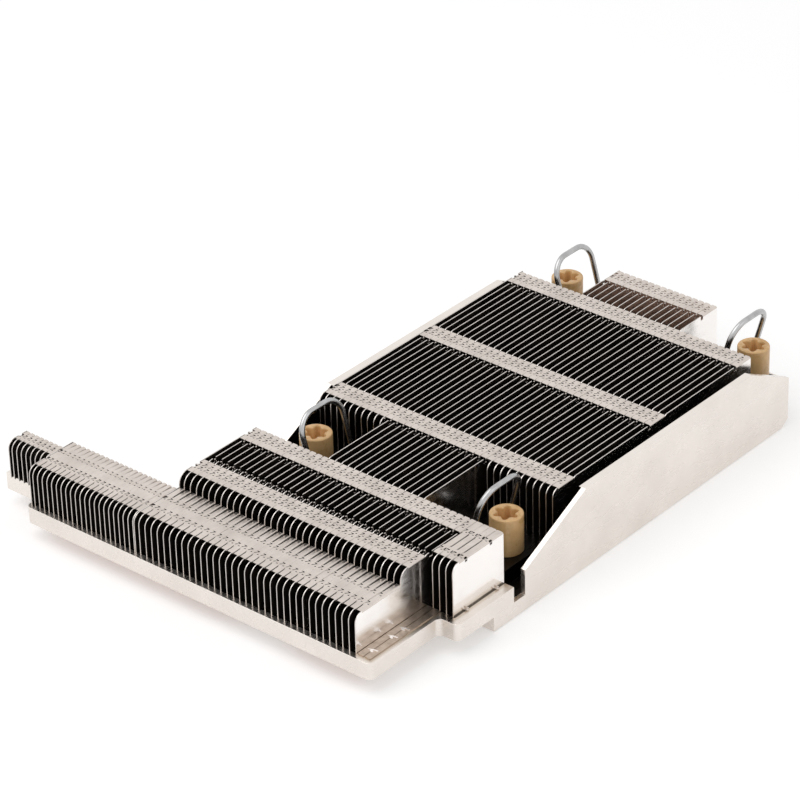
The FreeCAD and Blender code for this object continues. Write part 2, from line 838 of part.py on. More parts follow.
def build_bail(name, x, y, lean):
    """A wire loop whose two ends turn inwards as pins, leaning away from the fins."""
    body = new_body(name)
    width = size("bail_half_width")
    pin = size("pin_reach")
    foot = size("bail_foot_corner")
    route = new_sketch(body, "route", "YZ_Plane")
    outline(route, [
        (-pin, ZERO), (-width, ZERO, foot), (-width, size("bail_height"), size("bail_corner")),
        (width, size("bail_height"), size("bail_corner")), (width, ZERO, foot), (pin, ZERO)],
        closed=False)
    section = new_sketch(body, "section", "XZ_Plane", pin)
    circle(section, ZERO, ZERO, size("wire"))
    wire = body.newObject("PartDesign::AdditivePipe", f"{name}_wire")
    wire.Profile = section
    wire.Spine = (route, [])
    place(body, x, y, pivot_z, Vector(0, 1, 0), lean)
    return body


def build_fasteners():
    pieces = []
    for end, y in (("front", -nut_y), ("back", nut_y)):
        for side, sign in (("left", -1), ("right", 1)):
            x = nut_x if sign > 0 else -nut_x
            hinge_x = pivot_x if sign > 0 else -pivot_x
            lean = size("bail_lean") if sign > 0 else -size("bail_lean")
            pieces.append(build_nut(f"nut_{end}_{side}", x, y))
            pieces.append(build_ring(f"ring_{end}_{side}", x, y))
            pieces.append(build_bail(f"bail_{end}_{side}", hinge_x, y, lean))
    return pieces


pieces = [build_base(), build_contact_plate()]
pieces += build_heat_pipes()
pieces += build_fins()
pieces += build_fasteners()
doc.recompute()

for item in doc.Objects:
    if "Invalid" in item.State or "Error" in item.State:
        raise RuntimeError(f"{item.Name} failed to build: {item.State}")
for piece in pieces:
    if piece.Shape.isNull() or not piece.Shape.isValid():
        raise RuntimeError(f"{piece.Label} has no valid solid")

os.makedirs("parts", exist_ok=True)
for piece in pieces:
    piece.Shape.exportStep(f"parts/{piece.Label}.step")
    box = piece.Shape.BoundBox
    print(f"{piece.Label}: {len(piece.Shape.Solids)} solids, {piece.Shape.Volume:.1f} mm3, "
          f"{box.XMin:.2f}..{box.XMax:.2f}, {box.YMin:.2f}..{box.YMax:.2f}, {box.ZMin:.2f}..{box.ZMax:.2f}")
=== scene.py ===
import math

import bmesh
import bpy
from mathutils import Matrix, Vector
from mathutils.geometry import tessellate_polygon


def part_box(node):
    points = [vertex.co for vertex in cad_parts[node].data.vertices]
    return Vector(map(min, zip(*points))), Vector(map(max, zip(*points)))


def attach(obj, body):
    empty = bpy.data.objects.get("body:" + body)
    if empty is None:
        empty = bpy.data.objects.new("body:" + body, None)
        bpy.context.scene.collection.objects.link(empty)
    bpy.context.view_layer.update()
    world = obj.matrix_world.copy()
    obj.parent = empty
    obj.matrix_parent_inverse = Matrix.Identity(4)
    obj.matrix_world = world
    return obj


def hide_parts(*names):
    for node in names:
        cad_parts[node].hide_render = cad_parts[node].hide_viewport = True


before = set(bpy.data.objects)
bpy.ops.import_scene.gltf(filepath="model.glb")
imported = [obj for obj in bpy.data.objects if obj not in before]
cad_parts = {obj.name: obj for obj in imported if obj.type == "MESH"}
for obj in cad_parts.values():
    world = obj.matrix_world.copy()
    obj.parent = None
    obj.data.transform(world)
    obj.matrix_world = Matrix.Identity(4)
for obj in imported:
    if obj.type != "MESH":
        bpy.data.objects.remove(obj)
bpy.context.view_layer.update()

# Sizes and places are in millimetres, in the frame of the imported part.
MM = 0.001

# The base's top, on which the fins and the nuts stand.
PLATE_TOP = 8.0

# Fins: folded sheets that stand on the base and hook into each other at their tops.
SHEET = 0.23
FIN_PITCH = 1.86
FINE_PITCH = 1.49
FOOT_GAP = 0.16
SEAM = 0.04
FLAT = 0.04
BEND = 0.42
BEND_STEPS = 4
FRONT_STEPS = 6
LOW_TOP = 17.75
FIN_TOP = 21.05
LOW_CORNER = 2.2
TALL_CORNER = 2.6
BODY_CORNER = 1.9
TALL_FRONT = -84.0
TAIL_FRONT = 37.5
BAND_WIDTH = 5.7
FRONT_BAND = -81.4
WING_BAND = -63.8
FIRST_BAND = -36.4
MIDDLE_BAND = -2.4
REAR_BAND = 31.2
TAIL_BAND = 46.1
FOOT_INSET = 0.9

# Seams between strips, as places from the front (or, where negative, from the back) and gaps
# to the plate beside them.
SEAM_SHAPES = {
    "low": ((0.0, 0.44), (2.1, 0.36), (2.4, 0.14), (-4.4, 0.14), (-4.1, 0.45), (-0.01, 0.62)),
    "tip": ((0.0, 0.34), (0.7, 0.12), (-1.5, 0.12), (-1.3, 0.34), (-0.01, 0.5)),
    "band": ((0.0, 0.24), (0.5, 0.12), (-1.0, 0.12), (-0.75, 0.4), (-0.01, 0.46)),
    "hooked": ((0.0, 0.24), (0.5, 0.12), (-1.0, 0.12), (-0.75, 0.4), (-0.01, 0.46)),
    "corner": ((0.0, 0.3), (0.9, 0.12), (3.6, 0.12), (3.8, 0.4), (9.8, 0.4), (10.0, 0.12),
               (-0.01, 0.2)),
}

# Hooks: where they stand from a strip's front, and how far a cut runs along the edge and into
# the strip.
HOOK_ROWS = {
    "low": (3.65, 7.75),
    "tip": (1.9,),
    "band": (2.5, 4.0),
    "hooked": (2.5, 4.0),
    "corner": (2.4, 10.9),
}
HOOK_BEFORE = 0.7
HOOK_AFTER = 0.45
HOOK_FLAT = 0.25
HOOK_RETURN = 0.02
HOOK_REACH = 0.8
BARE_CUT = 0.8
BARE_REACH = 0.35

# Details of a seam seen from above, from the plate on its left and the place of the hook.
SLOT_FAR = 1.28
SLOT_MARGIN = 0.12
SLOT = ((0.86, -0.85), (SLOT_FAR, -0.73), (SLOT_FAR, -0.51), (0.86, -0.59))
TONGUE = ((-0.1, -0.5), (0.5, 0.02), (0.5, 0.2), (-0.1, 0.16))
TONGUE_RISE = 0.024
SPECK = ((1.0, -0.3), (1.22, -0.22), (1.22, -0.04), (1.0, -0.1))

# The windows in the corner block's last plate, from the place of the hook and the plate's top.
WINDOW_HALF = 0.45
WINDOW = ((-0.45, -1.0), (0.315, -1.0), (0.45, -0.48), (-0.315, -0.48))

# The cut in a plate's top edge in front of a band, and the strip's spur that stands in it.
NOTCH_FRONT = 0.9
NOTCH_DEPTH = 1.1
NOTCH_ROOM = 2.5
SPUR = ((0.18, -0.17), (0.48, -0.17), (0.48, 0.17), (0.18, 0.17))
SPUR_BEFORE = 0.6
SPUR_BEHIND = 1.57
SPUR_DROP = 0.7

# How a plate's top edge rises behind a strip, from the strip's back and the plate's top.
RISE = ((0.225, -0.2), (0.54, -0.05), (0.9, 0.0))
HOOKED_RISE = ((0.2, -0.2), (0.6, -0.03), (1.35, 0.0), (1.35, -NOTCH_DEPTH),
               (2.4, -NOTCH_DEPTH), (2.4, 0.0))

# The feet that run on along the wing, beside its last plate, and the parts of the hooks on them,
# as outlines with heights.
FOOT_ROWS = (-96.1, -89.6, -85.7)
LONG_FEET = 2
LONG_FOOT_ENDS = (0.25, 0.05, 0.3)
LONG_FOOT_CORNER = 0.2
FOOT_SINK = 0.1
FOOT_PARTS = (
    (((-1.35, -0.25), (-0.3, -0.15), (0.1, 0.3), (-0.2, 0.3)), 0.14),
    (((-0.3, -0.6), (0.4, -0.95), (0.75, -0.6), (0.2, -0.15), (0.2, 0.3), (-0.1, 0.3)), 0.26),
    (((0.2, -0.05), (1.3, 0.15), (1.3, 0.5), (0.2, 0.35)), 0.2),
)

# Nuts and bails.
NUT_HEAD = 3.9
NUT_STEM = 3.0
NUT_FOOT = 0.7
NUT_BORE = 1.65
NUT_EDGE = 0.35
STEM_CHAMFER = 0.2
HEAD_CHAMFER = 0.15
THREAD_PITCH = 0.7
THREAD_DEPTH = 0.2
THREAD_END = 8.7
THREAD_LEAD = 0.3
THREAD_RINGS = 4
RECESS_MEAN = 2.42
RECESS_SWING = 0.5
RECESS_LOBES = 6
RECESS_FLOOR = 12.5
RECESS_LIP = ((0.3, 0.0), (0.105, -0.12), (0.0, -0.39))
RECESS_FOOT = ((-0.05, 0.3), (-0.35, 0.0))
GROOVE_FOOT = 2.4
GROOVE_TOP = 3.2
GROOVE_RADIUS = 2.6
NUT_SIDES = 96
EDGE_STEPS = 4
WIRE_RADIUS = 0.7
WIRE_SIDES = 20
BAIL_HALF = 6.95
BAIL_HEIGHT = 15.8
BAIL_CORNER = 4.6
BAIL_FOOT_CORNER = 1.5
BAIL_LEAN = 15.8
BAIL_PIN = 3.6
PIVOT_INSET = 5.4
PIVOT_RISE = 1.5
CORNER_STEPS = 10

# Painted shade: the inside of the body, and the base's top under the fins, are painted near black,
# where little light comes.
BODY_INSIDE = (
    ((-35.72, -58.0, 7.7), (37.72, 51.8, 20.4)),
    ((-35.72, -58.0, 3.8), (37.72, 45.9, 7.72)),
)
UNDER_FINS = (
    ((-80.8, -93.6, 7.8), (-69.4, -87.9, 8.3)),
    ((-68.9, -98.8, 7.8), (28.5, -84.9, 8.3)),
    ((-35.8, -85.0, 7.8), (28.5, -58.3, 8.3)),
    ((28.5, -75.4, 7.8), (36.0, -58.3, 8.3)),
)

# Where the base's top is turned browner round the feet of the fins at the right.
BROWNISH_TOP_ZONES = (
    ((28.0, -99.6, 7.8), (33.1, -75.0, 8.3)),
    ((28.0, -77.0, 7.8), (37.2, -57.0, 8.3)),
)

# The tail's fins, whose painted shade is lighter and browner than the others', for the light that
# comes into the open gaps there.
TAIL_ZONE = ((-60.0, TAIL_FRONT, 0.0), (60.0, 60.0, 30.0))

# The dark line along the foot of the corner block's last plate, and the small hooks on it,
# as outlines with the heights where they start and end.
FOOT_LINE = ((35.9, -75.6, 7.8), (36.5, -58.0, 8.3))
FOOT_HOOKS = (-71.5, -61.1)
FOOT_HOOK_PARTS = (
    (((-0.2, -0.5), (0.9, -0.35), (0.9, 0.15), (0.5, 0.2), (0.45, 0.75), (-0.2, 0.6)), 0.02, 0.32),
    (((-0.1, -0.15), (0.25, -0.15), (0.25, 0.35), (-0.1, 0.35)), 0.3, 0.95),
)

# Pairs of colours that the recoloured boxes, painted shade among them, mottle between.
PAINTED_TAIL_LIGHT = ((0.42, 0.3, 0.235), (0.56, 0.42, 0.34))
PAINTED_BODY_SHADE = ((0.025, 0.022, 0.019), (0.055, 0.05, 0.045))
BROWNISH_TOP = ((0.42, 0.34, 0.26), (0.66, 0.575, 0.47))
SHADE = ((0.02, 0.017, 0.014), (0.045, 0.038, 0.032))
LINE = ((0.05, 0.04, 0.03), (0.1, 0.08, 0.06))
MOTTLE_SCALE = 150.0

# The machined base: points closer than the weld are one, and faces under the first angle lie
# flat. Edges over the second angle are broken.
BASE_WELD = 0.002
FLAT_ANGLE = 0.5
BROKEN_EDGE = 0.16
BROKEN_ANGLE = 50.0

# The stage, in metres and watts. Each lamp has a name, a place, a size and a power.
FLOOR_HALF = 3.0
FLOOR_LEVEL = -0.0002
FLOOR_GREY = (0.82, 0.82, 0.82, 1.0)
FLOOR_GLOW = 0.31
SKY = 0.62
WHITE = (1.0, 1.0, 1.0, 1.0)
LAMPS = (("key", (-0.25, -0.35, 0.75), 0.9, 2.6), ("fill", (0.7, 0.1, 0.5), 0.7, 0.5))

# The camera, as it stood for the photograph.
CAMERA_AZIMUTH = 40.9128
CAMERA_ELEVATION = 30.5687
CAMERA_ROLL = -1.6262
CAMERA_DISTANCE = 861.85
CAMERA_TARGET = (-28.071, -17.097, 12.0)
CAMERA_LENS = 164.62
SENSOR_WIDTH = 36.0

# The places of the fins' materials in their pieces. The dark one is painted shade: the sides of the
# plates and the undersides of the strips and feet, deep in the narrow gaps, are painted near black.
BRIGHT = 0
PAINTED_SHADE = 1
EDGE = 2
FOOT = 3
# Painted light: the outer faces of the end plates and the hooks on the feet are painted far
# brighter than the same sheet elsewhere.
PAINTED_LIGHT = 4


def new_material(name):
    """An empty material with its node tree and its shader."""
    material = bpy.data.materials.new(name)
    material.use_nodes = True
    return material, material.node_tree, material.node_tree.nodes["Principled BSDF"]


def noise(tree, scale, detail=4.0, stretch=(1.0, 1.0, 1.0)):
    """Noise in object coordinates, stretched along the axes with small factors."""
    place = tree.nodes.new("ShaderNodeTexCoord")
    mapping = tree.nodes.new("ShaderNodeMapping")
    mapping.inputs["Scale"].default_value = stretch
    texture = tree.nodes.new("ShaderNodeTexNoise")
    texture.inputs["Scale"].default_value = scale
    texture.inputs["Detail"].default_value = detail
    tree.links.new(place.outputs["Object"], mapping.inputs["Vector"])
    tree.links.new(mapping.outputs["Vector"], texture.inputs["Vector"])
    return texture.outputs["Fac"]


def spread(tree, factor, low, high, start=0.3, end=0.7):
    """A factor spread between two numbers."""
    ramp = tree.nodes.new("ShaderNodeMapRange")
    ramp.inputs["From Min"].default_value = start
    ramp.inputs["From Max"].default_value = end
    ramp.inputs["To Min"].default_value = low
    ramp.inputs["To Max"].default_value = high
    tree.links.new(factor, ramp.inputs["Value"])
    return ramp.outputs["Result"]


def tint(tree, factor, first, second, start=0.3, end=0.7):
    """A factor turned into a colour between two colours."""
    ramp = tree.nodes.new("ShaderNodeValToRGB")
    ramp.color_ramp.elements[0].position = start
    ramp.color_ramp.elements[0].color = (*first, 1.0)
    ramp.color_ramp.elements[1].position = end
    ramp.color_ramp.elements[1].color = (*second, 1.0)
    tree.links.new(factor, ramp.inputs["Fac"])
    return ramp.outputs["Color"]


def bump(tree, shader, height, distance, strength):
    """Fine relief that the light shows, but the outline doesn't."""
    node = tree.nodes.new("ShaderNodeBump")
    node.inputs["Strength"].default_value = strength
    node.inputs["Distance"].default_value = distance * MM
    tree.links.new(height, node.inputs["Height"])
    tree.links.new(node.outputs["Normal"], shader.inputs["Normal"])


def metal(name, first, second, rough_low, rough_high, cloud, grain, stretch, grain_height):
    """Plated or drawn metal: faint clouds of colour, uneven gloss and a fine directional grain."""
    material, tree, shader = new_material(name)
    shader.inputs["Metallic"].default_value = 1.0
    clouds = noise(tree, cloud, 3.0)
    tree.links.new(tint(tree, clouds, first, second), shader.inputs["Base Color"])
    streaks = noise(tree, grain, 5.0, stretch)
    tree.links.new(spread(tree, streaks, rough_low, rough_high), shader.inputs["Roughness"])
    bump(tree, shader, streaks, grain_height, 0.35)
    return material


def zone(tree, low, high, soft):
    """One inside a box in the object's own space, falling to nothing at its sides."""
    place = tree.nodes.new("ShaderNodeTexCoord")
    parts = tree.nodes.new("ShaderNodeSeparateXYZ")
    tree.links.new(place.outputs["Object"], parts.inputs["Vector"])
    share = None
    for axis, near, far in zip("XYZ", low, high):
        for edge, sign in ((near, 1.0), (far, -1.0)):
            side = spread(tree, parts.outputs[axis], 0.0, 1.0, start=(edge - sign * soft) * MM,
                          end=(edge + sign * soft) * MM)
            if share is None:
                share = side
                continue
            product = tree.nodes.new("ShaderNodeMath")
            product.operation = "MULTIPLY"
            tree.links.new(share, product.inputs[0])
            tree.links.new(side, product.inputs[1])
            share = product.outputs["Value"]
    return share


def recolour_and_paint_shade(material, box, soft, colours):
    """Turns a metal's colour to other ones inside a box: painted light and shade in some places, a
    browner tone or a dark line in others.
    """
    tree = material.node_tree
    share = zone(tree, *box, soft)
    shader = tree.nodes["Principled BSDF"]
    plain = shader.inputs["Base Color"].links[0].from_socket
    mix = tree.nodes.new("ShaderNodeMix")
    mix.data_type = "RGBA"
    tree.links.new(share, mix.inputs["Factor"])
    tree.links.new(plain, mix.inputs["A"])
    tree.links.new(tint(tree, noise(tree, MOTTLE_SCALE), *colours), mix.inputs["B"])
    tree.links.new(mix.outputs["Result"], shader.inputs["Base Color"])


base_metal = metal(
    "base_metal", (0.77, 0.715, 0.665), (0.84, 0.785, 0.735), 0.24, 0.36,
    cloud=90.0, grain=900.0, stretch=(1.0, 0.12, 1.0), grain_height=0.006)
fin_metal = metal(
    "fin_metal", (0.6, 0.54, 0.495), (0.71, 0.645, 0.595), 0.26, 0.42,
    cloud=260.0, grain=1600.0, stretch=(1.0, 0.3, 1.0), grain_height=0.006)
# Painted shade: the sides of the plates between the fins are painted near black, for the shade in
# the narrow gaps.
fin_side_painted_shade = metal(
    "fin_side_painted_shade", (0.04, 0.032, 0.026), (0.08, 0.064, 0.053), 0.38, 0.55,
    cloud=120.0, grain=1200.0, stretch=(1.0, 0.2, 1.0), grain_height=0.01)
# Painted light: a much brighter copy of the fin sheet, for the outer faces of the end plates and
# the hooks on the feet.
fin_face_painted_light = metal(
    "fin_face_painted_light", (0.93, 0.895, 0.87), (0.97, 0.935, 0.91), 0.14, 0.26,
    cloud=120.0, grain=1200.0, stretch=(1.0, 0.25, 1.0), grain_height=0.001)
fin_edge = metal(
    "fin_edge", (0.6, 0.555, 0.525), (0.74, 0.69, 0.655), 0.32, 0.46,
    cloud=500.0, grain=1600.0, stretch=(1.0, 0.3, 1.0), grain_height=0.01)
fin_foot = metal(
    "fin_foot", (0.42, 0.335, 0.27), (0.58, 0.485, 0.405), 0.3, 0.44,
    cloud=700.0, grain=1600.0, stretch=(1.0, 0.3, 1.0), grain_height=0.02)
# Painted light: the painted shade of the fin sides is lighter and browner in the tail, where more
# light comes in.
recolour_and_paint_shade(fin_side_painted_shade, TAIL_ZONE, 1.0, PAINTED_TAIL_LIGHT)
# Painted shade on the base's top and walls inside the body, and on its top under the fins.
for box in BODY_INSIDE:
    recolour_and_paint_shade(base_metal, box, 0.02, PAINTED_BODY_SHADE)
for box in BROWNISH_TOP_ZONES:
    recolour_and_paint_shade(base_metal, box, 0.35, BROWNISH_TOP)
for box in UNDER_FINS:
    recolour_and_paint_shade(base_metal, box, 0.1, SHADE)
recolour_and_paint_shade(base_metal, FOOT_LINE, 0.1, LINE)
copper = metal(
    "copper", (0.65, 0.45, 0.36), (0.75, 0.54, 0.44), 0.16, 0.34,
    cloud=70.0, grain=1500.0, stretch=(0.08, 1.0, 1.0), grain_height=0.03)
ring_steel = metal(
    "ring_steel", (0.50, 0.49, 0.48), (0.62, 0.61, 0.60), 0.22, 0.38,
    cloud=300.0, grain=1500.0, stretch=(1.0, 1.0, 0.2), grain_height=0.01)
wire_steel = metal(
    "wire_steel", (0.40, 0.40, 0.40), (0.52, 0.52, 0.52), 0.18, 0.30,
    cloud=400.0, grain=2200.0, stretch=(1.0, 1.0, 0.15), grain_height=0.01)


def polymer(name):
    """Tan moulded polymer: mottled, waxy, with a little light inside it."""
    material, tree, shader = new_material(name)
    mottle = noise(tree, 450.0, 5.0)
    tree.links.new(tint(tree, mottle, (0.63, 0.385, 0.165), (0.78, 0.5, 0.235)),
                   shader.inputs["Base Color"])
    tree.links.new(spread(tree, mottle, 0.24, 0.36), shader.inputs["Roughness"])
    shader.inputs["Subsurface Weight"].default_value = 0.12
    shader.inputs["Subsurface Radius"].default_value = (1.0, 0.5, 0.25)
    shader.inputs["Subsurface Scale"].default_value = 0.8 * MM
    bump(tree, shader, noise(tree, 2500.0, 3.0), 0.02, 0.3)
    return material


nut_polymer = polymer("nut_polymer")


def arc(centre_u, centre_v, radius, start, end, steps):
    """Points of an arc between two angles in degrees."""
    points = []
    for step in range(steps + 1):
        angle = math.radians(start + (end - start) * step / steps)
        points.append((centre_u + radius * math.cos(angle), centre_v + radius * math.sin(angle)))
    return points


def across(u, v, w):
    """A shape drawn in the side plane, as Y and Z, and drawn out along X."""
    return Vector((w, u, v)) * MM


def upward(u, v, w):
    """A shape drawn in the ground plane, and drawn out along Z."""
    return Vector((u, v, w)) * MM


def along(u, v, w):
    """A shape drawn in the front plane, as X and Z, and drawn out along Y."""
    return Vector((u, w, v)) * MM


def prism(bm, outer, low, high, spot, caps=(BRIGHT, BRIGHT), side=BRIGHT, holes=()):
    """A closed shape drawn out from low to high, with openings that go right through."""
    loops = [list(outer)] + [list(hole) for hole in holes]
    ends = []
    for level in (low, high):
        ends.append([[bm.verts.new(spot(u, v, level)) for u, v in loop] for loop in loops])
    flat = [[Vector((u, v, 0.0)) for u, v in loop] for loop in loops]
    for end, material in zip(ends, caps):
        vertices = [vertex for loop in end for vertex in loop]
        if holes:
            faces = [[vertices[index] for index in corners] for corners in tessellate_polygon(flat)]
        else:
            faces = [vertices]
        for corners in faces:
            bm.faces.new(corners).material_index = material
    for near, far in zip(*ends):
        for index, vertex in enumerate(near):
            follower = (index + 1) % len(near)
            quad = (vertex, near[follower], far[follower], far[index])
            bm.faces.new(quad).material_index = side


def placed(outline, u, v):
    """An outline moved to a place."""
    return [(u + point_u, v + point_v) for point_u, point_v in outline]


def skin(bm, loops):
    """Faces between neighbouring loops of points, and over the first and the last."""
    for first, second in zip(loops, loops[1:]):
        for index, vertex in enumerate(first):
            after = (index + 1) % len(first)
            bm.faces.new((vertex, first[after], second[after], second[index]))
    bm.faces.new(loops[0])
    bm.faces.new(loops[-1])


def piece(name, bm, materials, body, nodes, smooth=35.0):
    """Turns the mesh into a piece of the scene that stands for its nodes."""
    bmesh.ops.recalc_face_normals(bm, faces=bm.faces)
    mesh = bpy.data.meshes.new(name)
    bm.to_mesh(mesh)
    bm.free()
    for material in materials:
        mesh.materials.append(material)
    mesh.shade_smooth()
    mesh.set_sharp_from_angle(angle=math.radians(smooth))
    thing = bpy.data.objects.new(name, mesh)
    bpy.context.scene.collection.objects.link(thing)
    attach(thing, body)
    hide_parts(*nodes)
    return thing


def limits(node):
    """The low and the high corner of a node's box."""
    low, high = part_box(node)
    return low / MM, high / MM


def top_edge(start, end, top, strips):
    """A plate's top edge: lowered under its strips, notched in front of them and curved behind."""
    line = []
    if not strips or strips[0][0] - start > NOTCH_ROOM:
        line.append((start, top))
    for front, back, kind in strips:
        if front - start > NOTCH_ROOM:
            line += [(front - NOTCH_FRONT, top), (front - NOTCH_FRONT, top - NOTCH_DEPTH),
                     (front, top - NOTCH_DEPTH)]
        line += [(front, top - BEND), (back, top - BEND)]
        if kind == "hooked":
            line += placed(HOOKED_RISE, back, top)
        elif end - back > NOTCH_ROOM:
            line += placed(RISE, back, top)
        start = back
    if end - start > NOTCH_ROOM:
        line.append((end, top))
    return line


def bare_edge(start, end, top, strips):
    """The top edge of a plate without folded strips, cut away where its neighbour's hooks come."""
    line = []
    for front, back, kind in strips:
        for row in rows_of(front, kind):
            line += [(row - HOOK_BEFORE, top), (row - HOOK_BEFORE, top - BARE_CUT),
                     (row + HOOK_AFTER, top - BARE_CUT), (row + HOOK_AFTER, top)]
    return line + [(end, top)]


def side_shape(front, back, levels, edge=top_edge):
    """The outline of a fin seen from the side. Each level is (start, top, corner, strips)."""
    shape = [(front, PLATE_TOP)]
    for index, (start, top, corner, strips) in enumerate(levels):
        end = levels[index + 1][0] if index + 1 < len(levels) else back
        shape += arc(start + corner, top - corner, corner, 180.0, 90.0, FRONT_STEPS)
        shape += edge(start + corner, end, top, strips)
    shape.append((back, PLATE_TOP))
    return shape


def bare_shape(front, back, levels):
    """The outline of a plate without folded strips."""
    return side_shape(front, back, levels, bare_edge)


def band(front, kind="band"):
    """A folded strip across the fins, as its front, its back and its kind."""
    return (front, front + BAND_WIDTH, kind)


def rows_of(front, kind):
    """Where the hooks of a strip stand along it."""
    return [front + offset for offset in HOOK_ROWS[kind]]


def free_edge(front, back, kind):
    """The free edge of a strip, as places along it and gaps to the plate beside it."""
    edge = [((back if offset < 0 else front) + offset, gap) for offset, gap in SEAM_SHAPES[kind]]
    for row in rows_of(front, kind):
        edge += [(row - HOOK_BEFORE, SEAM), (row + HOOK_AFTER - HOOK_FLAT, HOOK_REACH),
                 (row + HOOK_AFTER, HOOK_REACH), (row + HOOK_AFTER + HOOK_RETURN, SEAM)]
    return sorted(edge)


def strip(bm, right, front, back, top, kind, pitch, limit, closed):
    """A folded strip: its rounded bend, its flat part and the hooks of the plate beside it."""
    level = top - FLAT
    rows = rows_of(front, kind)
    stops = [front]
    if kind == "corner":
        for row in rows:
            stops += [row - WINDOW_HALF, row + WINDOW_HALF]
    stops.append(back)
    bend = arc(right - BEND, level - BEND, BEND, 0.0, 90.0, BEND_STEPS)
    bend += arc(right - BEND, level - BEND, BEND - SHEET, 90.0, 0.0, BEND_STEPS)
    for low, high in zip(stops[::2], stops[1::2]):
        prism(bm, bend, low, high, along)
    beside = right - pitch
    plan = [(right - BEND, front), (right - BEND, back)]
    extra = 0.0 if closed else BARE_REACH
    plan += [(max(beside + gap + (extra if gap == HOOK_REACH else 0.0), limit), place)
             for place, gap in reversed(free_edge(front, back, kind))]
    inner = beside + min(0.0, pitch - BEND - SLOT_MARGIN - SLOT_FAR)
    slots = [placed(SLOT, inner, row) for row in rows]
    prism(bm, plan, level - SHEET, level, upward, caps=(PAINTED_SHADE, BRIGHT), side=PAINTED_SHADE, holes=slots)
    if closed:
        for row in rows:
            tongue = [(max(place, limit), spot) for place, spot in placed(TONGUE, beside, row)]
            prism(bm, tongue, level - SHEET, level + TONGUE_RISE, upward)
            prism(bm, placed(SPECK, inner, row), level - SHEET, top, upward)


def spurs(bm, beside, top, strips, start):
    """The small spurs of the strips, which stand free in the notches of the plates' top edges."""
    for front, back, kind in strips:
        middles = []
        if front - start > NOTCH_ROOM:
            middles.append(front - SPUR_BEFORE)
        if kind == "hooked":
            middles.append(back + SPUR_BEHIND)
        for middle in middles:
            prism(bm, placed(SPUR, beside, middle), top - SPUR_DROP, top - FLAT, upward)
        start = back


def fin(bm, right, shape, levels, pitch, limit, faces, bare_front=None):
    """One fin: the upright plate, the foot strip and the folded strips, which reach to the left."""
    left = right - SHEET
    if faces:
        prism(bm, shape, left, right, across, caps=faces, side=EDGE)
    front, back = shape[0][0], shape[-1][0]
    foot = [(right - pitch + FOOT_GAP, front + FOOT_INSET), (left, front + FOOT_INSET),
            (left, back), (right - pitch + FOOT_GAP, back)]
    # The foot strip is painted shade, near black.
    prism(bm, foot, PLATE_TOP, PLATE_TOP + SHEET, upward, caps=(PAINTED_SHADE, PAINTED_SHADE), side=PAINTED_SHADE)
    for start, top, corner, strips in levels:
        if bare_front is None or bare_front > start:
            spurs(bm, right - pitch, top, strips, start + corner)
        for strip_front, strip_back, kind in strips:
            beside_bare = bare_front is not None and strip_front > bare_front
            edge = limit + SHEET + SEAM if beside_bare else limit
            strip(bm, right, strip_front, strip_back, top, kind, pitch, edge, not beside_bare)


def fin_row(node, levels, pitch, bare=None, last_face=PAINTED_SHADE, windows=False, feet=None):
    """A row of like fins in place of one node, where needed with a bare plate at its left end."""
    low, high = limits(node)
    reach = pitch - FOOT_GAP
    count = round((high.x - low.x - reach) / pitch) + 1
    front, back = levels[0][0], high.y
    shape = side_shape(front, back, levels)
    bm = bmesh.new()
    if bare:
        prism(bm, bare, low.x, low.x + SHEET, across, caps=(BRIGHT, PAINTED_SHADE), side=EDGE)
    for index in range(count):
        right = low.x + reach + pitch * index
        # Both sides of each plate are painted shade, near black; the last plate's outer face can be
        # painted light.
        faces = (PAINTED_SHADE, last_face if index + 1 == count else PAINTED_SHADE)
        bare_front = bare[0][0] if bare and not index else None
        if windows:
            start, top, corner, strips = levels[0]
            window_plate(bm, right, shape, rows_of(strips[0][0], strips[0][2]), top)
            faces = None
        fin(bm, right, shape, levels, pitch, low.x, faces, bare_front)
    if feet:
        long_feet(bm, low, pitch, feet, front)
    if windows:
        foot_hooks(bm, high.x)
    return piece(node + "_folded", bm, (fin_metal, fin_side_painted_shade, fin_edge, fin_foot, fin_face_painted_light),
                 "heatsink", [node])


def window_plate(bm, right, shape, rows, top):
    """The last plate of the corner block: its hooks leave open windows under its top edge."""
    windows = [placed(WINDOW, row, top) for row in rows]
    prism(bm, shape, right - SHEET, right, across, caps=(PAINTED_SHADE, PAINTED_LIGHT), side=EDGE, holes=windows)


def long_feet(bm, low, pitch, front, back):
    """The feet of the corner block's first fins, which run on along the wing and hook together."""
    reach = pitch - FOOT_GAP
    ends = [front + inset for inset in LONG_FOOT_ENDS]
    for index in range(LONG_FEET):
        near = low.x + pitch * index
        far = near + reach
        foot = [(near, ends[0]), (far - LONG_FOOT_CORNER, ends[1]), (far, ends[2]),
                (far, back), (near, back)]
        prism(bm, foot, PLATE_TOP, PLATE_TOP + SHEET, upward, caps=(FOOT, FOOT), side=FOOT)
    top = PLATE_TOP + SHEET
    middle = low.x + pitch
    # The hooks on the long feet are painted light, far brighter than the sheet.
    for row in FOOT_ROWS:
        for outline, height in FOOT_PARTS:
            prism(bm, placed(outline, middle, row), top - FOOT_SINK, top + height, upward,
                  caps=(PAINTED_LIGHT, PAINTED_LIGHT), side=PAINTED_LIGHT)


def foot_hooks(bm, face):
    """The small hooks that come out under the corner block's last plate."""
    for row in FOOT_HOOKS:
        for outline, low, high in FOOT_HOOK_PARTS:
            prism(bm, placed(outline, face, row), PLATE_TOP + low, PLATE_TOP + high, upward)


